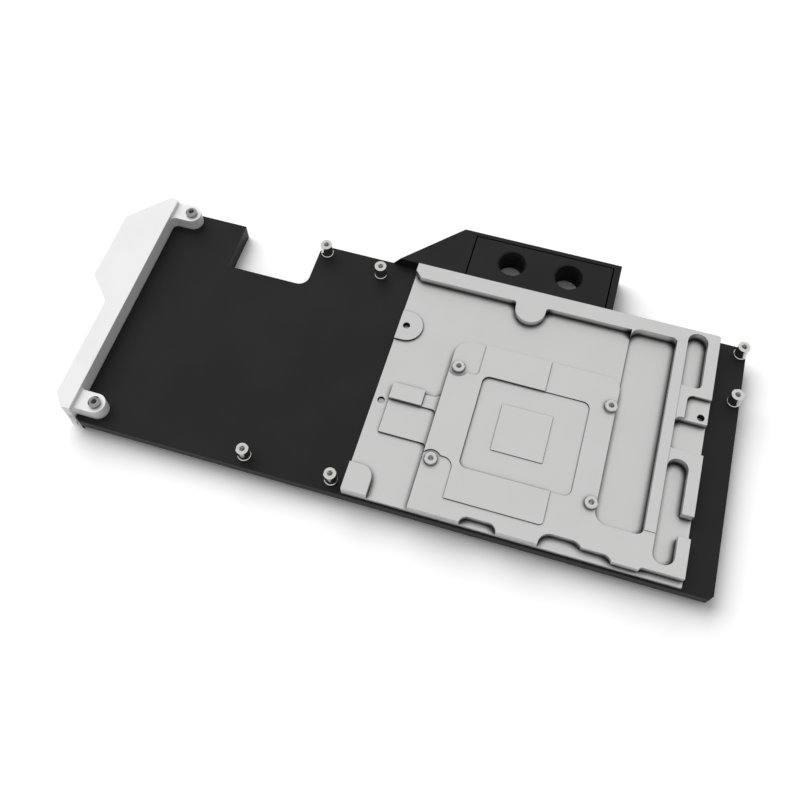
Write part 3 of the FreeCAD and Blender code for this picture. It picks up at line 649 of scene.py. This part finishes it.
def thread_tree() -> NodeTree:
    """Tree that cuts a row of internal threads into a closed mesh.

    Returns:
        Tree with the inputs Start, Spacing, Count, Core Radius, Depth, Pitch, Length, Steps, Material.
    """
    tree = NodeTree("internal_threads")
    for name, kind in (("Start", "NodeSocketVector"), ("Spacing", "NodeSocketVector"),
                       ("Count", "NodeSocketInt"), ("Core Radius", "NodeSocketFloat"),
                       ("Depth", "NodeSocketFloat"), ("Pitch", "NodeSocketFloat"),
                       ("Length", "NodeSocketFloat"), ("Steps", "NodeSocketInt"),
                       ("Material", "NodeSocketMaterial")):
        tree.size(name, kind)
    pitch, length, core = tree.given("Pitch"), tree.given("Length"), tree.given("Core Radius")
    turns = tree.add("ShaderNodeMath", {"operation": "DIVIDE"}, {0: length, 1: pitch})
    coil = tree.add("GeometryNodeCurveSpiral", {},
                    {"Resolution": tree.given("Steps"), "Rotations": turns, "Start Radius": core,
                     "End Radius": core, "Height": length})
    upright = tree.add("GeometryNodeSetCurveNormal", {"mode": "Z_UP"}, {"Curve": coil})
    tooth = tree.add("GeometryNodeCurvePrimitiveCircle", {"mode": "RADIUS"},
                     {"Resolution": TOOTH_SIDES, "Radius": 1.0})
    wide = tree.add("ShaderNodeMath", {"operation": "MULTIPLY"}, {0: pitch, 1: 0.5})
    scale = tree.add("ShaderNodeCombineXYZ", {}, {0: tree.given("Depth"), 1: wide, 2: 1.0})
    shaped = tree.add("GeometryNodeTransform", {}, {"Geometry": tooth, "Scale": scale})
    cutter = tree.add("GeometryNodeCurveToMesh", {},
                      {"Curve": upright, "Profile Curve": shaped, "Fill Caps": True})
    row = tree.add("GeometryNodeMeshLine", {"mode": "OFFSET", "count_mode": "TOTAL"},
                   {"Count": tree.given("Count"), "Start Location": tree.given("Start"),
                    "Offset": tree.given("Spacing")})
    placed = tree.add("GeometryNodeInstanceOnPoints", {}, {"Points": row, "Instance": cutter})
    real = tree.add("GeometryNodeRealizeInstances", {}, {"Geometry": placed})
    cut = tree.add("GeometryNodeMeshBoolean", {"operation": "DIFFERENCE", "solver": "EXACT"},
                   {"Mesh 1": tree.given("Geometry"), "Mesh 2": real})
    tree.finish(cut)
    return tree


def knurl_tree() -> NodeTree:
    """Tree that rings each point of a mesh with straight knurls.

    Returns:
        Tree with the inputs Turn, Radius, Count, Height, Tooth, Material.
    """
    tree = NodeTree("head_knurls")
    for name, kind in (("Turn", "NodeSocketRotation"), ("Radius", "NodeSocketFloat"),
                       ("Count", "NodeSocketInt"), ("Height", "NodeSocketFloat"),
                       ("Tooth", "NodeSocketFloat"), ("Material", "NodeSocketMaterial")):
        tree.size(name, kind)
    ring = tree.add("GeometryNodeMeshCircle", {},
                    {"Vertices": tree.given("Count"), "Radius": tree.given("Radius")})
    tooth = tree.add("GeometryNodeMeshCylinder", {}, {"Vertices": 4, "Radius": tree.given("Tooth"),
                                                      "Depth": tree.given("Height")})
    knurls = tree.add("GeometryNodeInstanceOnPoints", {}, {"Points": ring, "Instance": tooth})
    real = tree.add("GeometryNodeRealizeInstances", {}, {"Geometry": knurls})
    heads = tree.add("GeometryNodeInstanceOnPoints", {},
                     {"Points": tree.given("Geometry"), "Instance": real, "Rotation": tree.given("Turn")})
    tree.finish(heads)
    return tree


# ---------------------------------------------------------------- sub-assemblies
@dataclass
class Dresser:
    """What every sub-assembly shares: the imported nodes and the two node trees."""

    nodes: dict[str, bpy.types.Object]
    threads: NodeTree
    knurls: NodeTree

    def named(self, *starts: str) -> list[str]:
        """Find nodes by the start of their names.

        Args:
            starts: Words, any of which a name may start with.

        Returns:
            The names in order.
        """
        return sorted(n for n in self.nodes if n.startswith(starts))

    def dress(self, names: Iterable[str], material: bpy.types.Material) -> None:
        """Give CAD nodes a material and report them.

        Args:
            names: Names of the nodes.
            material: Their finish.
        """
        for name in names:
            paint(self.nodes[name], material)
            LOG.info("dressed %s with %s", name, material.name)

    def middle(self, name: str) -> Vector:
        """Find the middle of a node's box.

        Args:
            name: Name of the node.

        Returns:
            The point, in metres.
        """
        low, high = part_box(name)
        return (low + high) / 2


@dataclass
class ContactPlate(Dresser):
    """The milled cold plate."""

    finish: BlastedNickel = field(default_factory=BlastedNickel)

    def build(self) -> None:
        """Dress the plate."""
        self.dress(["cold_plate"], self.finish.material())


@dataclass
class Housing(Dresser):
    """The black plate that closes the coolant space, with the insert inside it."""

    finish: BlackAcetal = field(default_factory=BlackAcetal)

    def build(self) -> None:
        """Dress the housing and the insert."""
        self.dress(["top_housing", "jet_insert"], self.finish.material())


@dataclass
class PortTerminal(Dresser):
    """Port block with its two pipe threads, and the shroud round it."""

    finish: BlackAcetal = field(default_factory=lambda: BlackAcetal("terminal_acetal"))
    core_radius: float = 5.72 * MM
    thread_depth: float = 0.86 * MM
    thread_pitch: float = 1.337 * MM
    port_spacing: float = 25.0 * MM
    ports_from_edge: float = 11.1 * MM
    steps: int = 48

    def build(self) -> None:
        """Cut the pipe threads and dress both pieces."""
        material = self.finish.material()
        low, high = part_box("terminal_block")
        block = merged_copy(self.nodes["terminal_block"], "threaded_port_block")
        length = high.z - low.z
        start = Vector(((low.x + high.x) / 2 - self.port_spacing / 2, low.y + self.ports_from_edge, low.z))
        self.threads.apply(block, {"Start": start, "Spacing": Vector((self.port_spacing, 0, 0)), "Count": 2,
                                   "Core Radius": self.core_radius, "Depth": self.thread_depth,
                                   "Pitch": self.thread_pitch, "Length": length, "Steps": self.steps,
                                   "Material": material})
        shade(block)
        paint(block, material)
        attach(block, ROOT)
        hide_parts("terminal_block")
        LOG.info("threaded_port_block: %d faces", len(block.data.polygons))
        self.dress(["terminal_shroud"], material)


@dataclass
class BoardStandoffs(Dresser):
    """The turned standoffs, each with its fine thread."""

    core_radius: float = 1.025 * MM
    thread_depth: float = 0.24 * MM
    thread_pitch: float = 0.45 * MM
    thread_length: float = 3.4 * MM
    run_out: float = 0.2 * MM
    steps: int = 20
    bright: Colour = BRIGHT_NICKEL
    # Painted dark reflection: a darker copy of the nickel, standing in for the dark surroundings that the
    # short ear standoffs mirror.
    painted_dark_reflection: Colour = (0.30, 0.298, 0.29)

    def build(self) -> None:
        """Cut and dress each standoff; the short ones on the cover's ears get a darker copy of the nickel
        colour, a painted dark reflection.
        """
        for name in self.named("standoff"):
            centre = self.middle(name)
            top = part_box(name)[1].z
            # The ear standoffs take the painted dark reflection in place of the bright nickel.
            nickel_or_painted_dark = self.painted_dark_reflection if "_ear_" in name else self.bright
            material = TurnedMetal(f"turned_{name}", (centre.x, centre.y, top), shade=nickel_or_painted_dark).material()
            piece = merged_copy(self.nodes[name], f"threaded_{name}")
            start = Vector((centre.x, centre.y, top - self.thread_length))
            length = self.thread_length + self.run_out
            self.threads.apply(piece, {"Start": start, "Spacing": Vector((0, 0, 0)), "Count": 1,
                                       "Core Radius": self.core_radius, "Depth": self.thread_depth,
                                       "Pitch": self.thread_pitch, "Length": length,
                                       "Steps": self.steps, "Material": material})
            shade(piece)
            paint(piece, material)
            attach(piece, ROOT)
            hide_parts(name)
            LOG.info("%s: %d faces", piece.name, len(piece.data.polygons))


@dataclass
class EndCover(Dresser):
    """The white cover at the end of the card."""

    finish: WhitePlastic = field(default_factory=WhitePlastic)

    def build(self) -> None:
        """Dress the cover."""
        self.dress(["end_cover"], self.finish.material())


@dataclass
class Fasteners(Dresser):
    """Socket cap screws, with their knurled heads."""

    head_radius: float = 2.75 * MM
    head_height: float = 3.0 * MM
    head_play: float = 0.1 * MM
    knurl_margin: float = 0.7 * MM
    tooth: float = 0.16 * MM
    teeth: int = 32
    steel: Colour = (0.42, 0.42, 0.43)
    roughness: float = 0.3
    knurl_roughness: float = 0.34
    edge: float = 0.06

    def build(self) -> None:
        """Dress the screws and ring their heads with knurls."""
        for name in self.named("housing_screw", "terminal_screw", "shroud_screw"):
            finish = TurnedMetal(f"steel_{name}", tuple(self.middle(name)), shade=self.steel,
                                 roughness=self.roughness, edge=self.edge)
            self.dress([name], finish.material())
        knurled = TurnedMetal("steel_knurls", (0.0, 0.0, 0.0), shade=self.steel,
                              roughness=self.knurl_roughness).material()
        inset = self.head_height / 2 + self.head_play
        up = []
        for name in self.named("housing_screw"):
            centre = self.middle(name)
            up.append(Vector((centre.x, centre.y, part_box(name)[0].z + inset)))
        along = []
        for name in self.named("terminal_screw", "shroud_screw"):
            centre = self.middle(name)
            along.append(Vector((centre.x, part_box(name)[1].y - inset, centre.z)))
        self._ring("housing_screw_knurls", up, (0.0, 0.0, 0.0), knurled)
        self._ring("terminal_screw_knurls", along, (math.pi / 2, 0.0, 0.0), knurled)

    def _ring(self, name: str, heads: list[Vector], turn: tuple[float, float, float],
              material: bpy.types.Material) -> None:
        """Make the knurls of one set of screw heads.

        Args:
            name: Name of the piece.
            heads: Middle of each head.
            turn: Rotation of the heads, as Euler angles.
            material: Finish.
        """
        mesh = bpy.data.meshes.new(name)
        mesh.from_pydata([tuple(h) for h in heads], [], [])
        piece = bpy.data.objects.new(name, mesh)
        bpy.context.scene.collection.objects.link(piece)
        self.knurls.apply(piece, {"Turn": turn, "Radius": self.head_radius, "Count": self.teeth,
                                  "Height": self.head_height - self.knurl_margin, "Tooth": self.tooth,
                                  "Material": material})
        paint(piece, material)
        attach(piece, ROOT)
        LOG.info("%s: %d faces", name, len(piece.data.polygons))


@dataclass
class CoolantSeals(Dresser):
    """Gasket, rings and the jet plate inside."""

    finish: SealRubber = field(default_factory=SealRubber)
    sheet_shade: Colour = (0.5, 0.5, 0.5)
    sheet_roughness: float = 0.3

    def build(self) -> None:
        """Dress the inner pieces."""
        self.dress(self.named("main_gasket", "terminal_ring"), self.finish.material())
        sheet = TurnedMetal("jet_sheet", tuple(self.middle("jet_plate")), shade=self.sheet_shade,
                            roughness=self.sheet_roughness)
        self.dress(["jet_plate"], sheet.material())


# ---------------------------------------------------------------- studio
@dataclass
class Studio:
    """White floor, soft light and the camera."""

    floor_size: float = 6.0
    floor_level: float = -0.02 * MM
    world_level: float = 0.38
    key_from: tuple[float, float, float] = (-0.58, 0.48, 0.66)
    key_spread: float = 66.0
    key_level: float = 2.95
    camera_place: tuple[float, float, float] = (57.46 * MM, -177.25 * MM, 354.91 * MM)
    camera_right: tuple[float, float, float] = (0.95954, 0.28158, 0.00003)
    camera_up: tuple[float, float, float] = (-0.24297, 0.82793, 0.50547)
    lens: float = 42.589
    sensor: float = 36.0
    clip: tuple[float, float] = (0.01, 20.0)
    shift: tuple[float, float] = (-0.01954, -0.10011)

    def build(self) -> None:
        """Set up the floor, the light and the camera."""
        self._floor()
        self._world()
        self._key()
        self._camera()
        bpy.context.scene.view_settings.view_transform = "Standard"

    def _floor(self) -> None:
        """Lay the floor just under the object."""
        half, level = self.floor_size / 2, self.floor_level
        corners = [(-half, -half, level), (half, -half, level), (half, half, level), (-half, half, level)]
        mesh = bpy.data.meshes.new("studio_floor")
        mesh.from_pydata(corners, [], [(0, 1, 2, 3)])
        floor = bpy.data.objects.new("studio_floor", mesh)
        bpy.context.scene.collection.objects.link(floor)
        paint(floor, StudioWhite().material())

    def _world(self) -> None:
        """Even white world, at full strength only for what the camera and mirrors see."""
        world = bpy.data.worlds.new("studio_world")
        world.use_nodes = True
        tree = world.node_tree
        tree.nodes.clear()
        rays = tree.nodes.new("ShaderNodeLightPath")
        seen = rays.outputs["Is Camera Ray"]
        for name in SEEN_PLAIN:
            either = tree.nodes.new("ShaderNodeMath")
            either.operation = Operation.HIGHEST.value
            tree.links.new(seen, either.inputs[0])
            tree.links.new(rays.outputs[name], either.inputs[1])
            seen = either.outputs[0]
        level = tree.nodes.new("ShaderNodeMapRange")
        level.inputs["To Min"].default_value = self.world_level
        level.inputs["To Max"].default_value = 1.0
        tree.links.new(seen, level.inputs["Value"])
        light = tree.nodes.new("ShaderNodeBackground")
        light.inputs["Color"].default_value = (1.0, 1.0, 1.0, 1.0)
        tree.links.new(level.outputs[0], light.inputs["Strength"])
        end = tree.nodes.new("ShaderNodeOutputWorld")
        tree.links.new(light.outputs[0], end.inputs["Surface"])
        bpy.context.scene.world = world

    def _key(self) -> None:
        """One very soft lamp behind the terminal edge; mirrors show the plain world in its place."""
        data = bpy.data.lights.new("key_lamp", "SUN")
        data.angle = math.radians(self.key_spread)
        data.energy = self.key_level
        lamp = bpy.data.objects.new("key_lamp", data)
        lamp.rotation_euler = Vector(self.key_from).to_track_quat("Z", "Y").to_euler()
        lamp.visible_glossy = False
        bpy.context.scene.collection.objects.link(lamp)

    def _camera(self) -> None:
        """Place the camera."""
        right, up = Vector(self.camera_right).normalized(), Vector(self.camera_up).normalized()
        back = right.cross(up)
        data = bpy.data.cameras.new("camera")
        data.sensor_width = self.sensor
        data.lens = self.lens
        data.shift_x, data.shift_y = self.shift
        data.clip_start, data.clip_end = self.clip
        camera = bpy.data.objects.new("camera", data)
        turn = Matrix((right, up, back)).transposed().to_4x4()
        camera.matrix_world = Matrix.Translation(self.camera_place) @ turn
        bpy.context.scene.collection.objects.link(camera)
        bpy.context.scene.camera = camera


def main() -> None:
    """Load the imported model, build every sub-assembly and set up the studio."""
    logging.basicConfig(level=logging.INFO, format="%(name)s: %(message)s")
    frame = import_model()
    shared = (frame["nodes"], thread_tree(), knurl_tree())
    for part in (ContactPlate, Housing, PortTerminal, BoardStandoffs, EndCover, Fasteners, CoolantSeals):
        part(*shared).build()
        LOG.info("%s is done", part.__name__)
    Studio().build()


if __name__ == "__main__":
    main()
